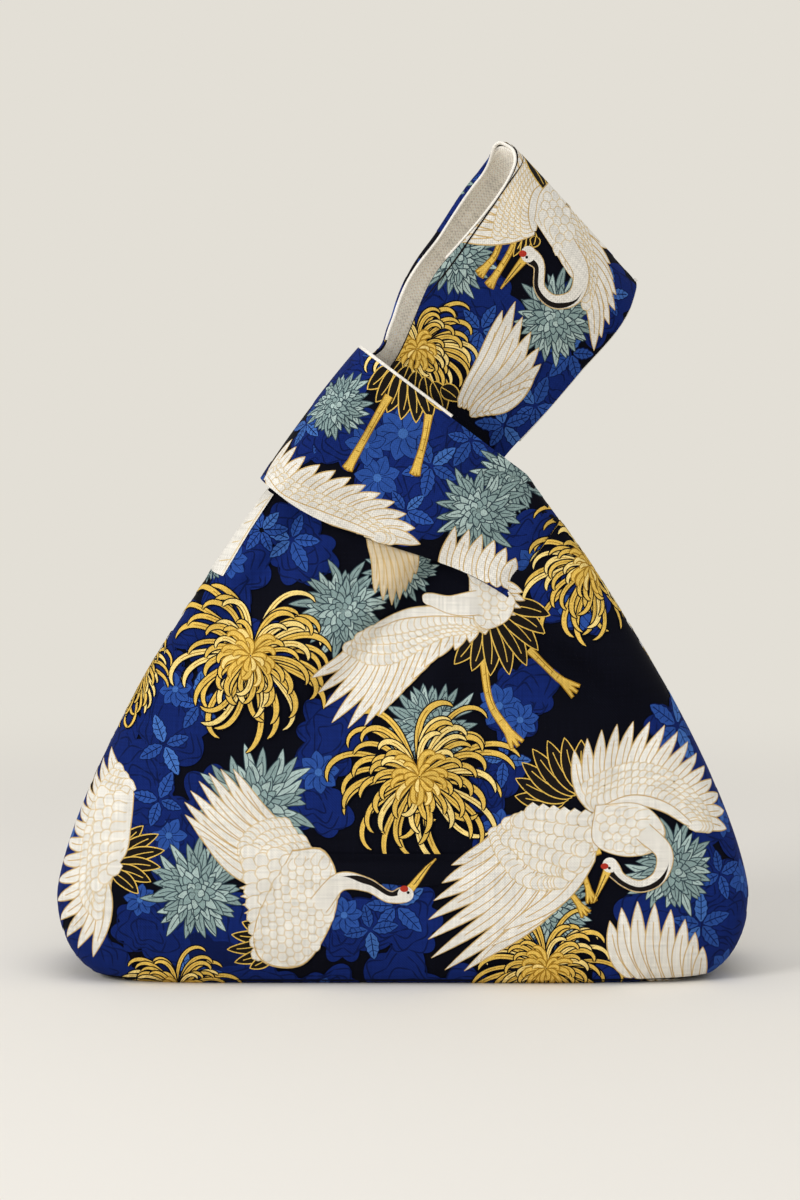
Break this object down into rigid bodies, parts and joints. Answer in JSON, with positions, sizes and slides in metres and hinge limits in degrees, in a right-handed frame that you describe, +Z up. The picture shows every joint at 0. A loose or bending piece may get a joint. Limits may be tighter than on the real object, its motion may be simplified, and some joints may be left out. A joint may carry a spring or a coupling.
{
  "type": "knot bag",
  "caption": "Cloth knot bag with a boxed base and a printed outside: a long wrist handle drawn through a short one, which closes the mouth as a band; plain linen lining and white edges.",
  "frame": {"origin": "on the floor under the middle of the base", "axes": "+X to the bag's right in the picture, +Y from front to back, +Z up"},
  "size_m": [0.3, 0.0902, 0.3581],
  "materials": {
    "printed_cloth": "woven cotton, printed in blue, gold, grey-green and white on near-black navy",
    "linen_lining": "plain natural linen",
    "interlining": "soft needled wadding",
    "white_edging": "white cotton piping and rolled edges"
  },
  "bodies": {
    "bag": {"outer_front": "printed_cloth", "outer_back": "printed_cloth", "interlining_front": "interlining", "interlining_back": "interlining", "lining_front": "linen_lining", "lining_back": "linen_lining", "handle_root_front": "printed_cloth", "handle_root_back": "printed_cloth", "handle_root_lining_front": "linen_lining", "handle_root_lining_back": "linen_lining"},
    "short_handle": {"short_handle_front": "printed_cloth", "short_handle_back": "printed_cloth", "short_handle_lining_front": "linen_lining", "short_handle_lining_back": "linen_lining", "short_handle_piping": "white_edging"},
    "long_handle": {"long_handle_front": "printed_cloth", "long_handle_back": "printed_cloth", "long_handle_lining_front": "linen_lining", "long_handle_lining_back": "linen_lining", "long_handle_edge_left": "white_edging", "long_handle_edge_right": "white_edging"}
  },
  "joints": [
    {"name": "band_slide", "type": "slide", "parent": "bag", "child": "short_handle", "axis": [0.6018, 0, 0.7986], "range_m": [0, 0.01]},
    {"name": "handle_flop", "type": "hinge", "parent": "bag", "child": "long_handle", "pos_m": [0.02552, 0, 0.25537], "axis": [0.7505, 0.342, -0.5655], "range_deg": [-30, 30]}
  ]
}
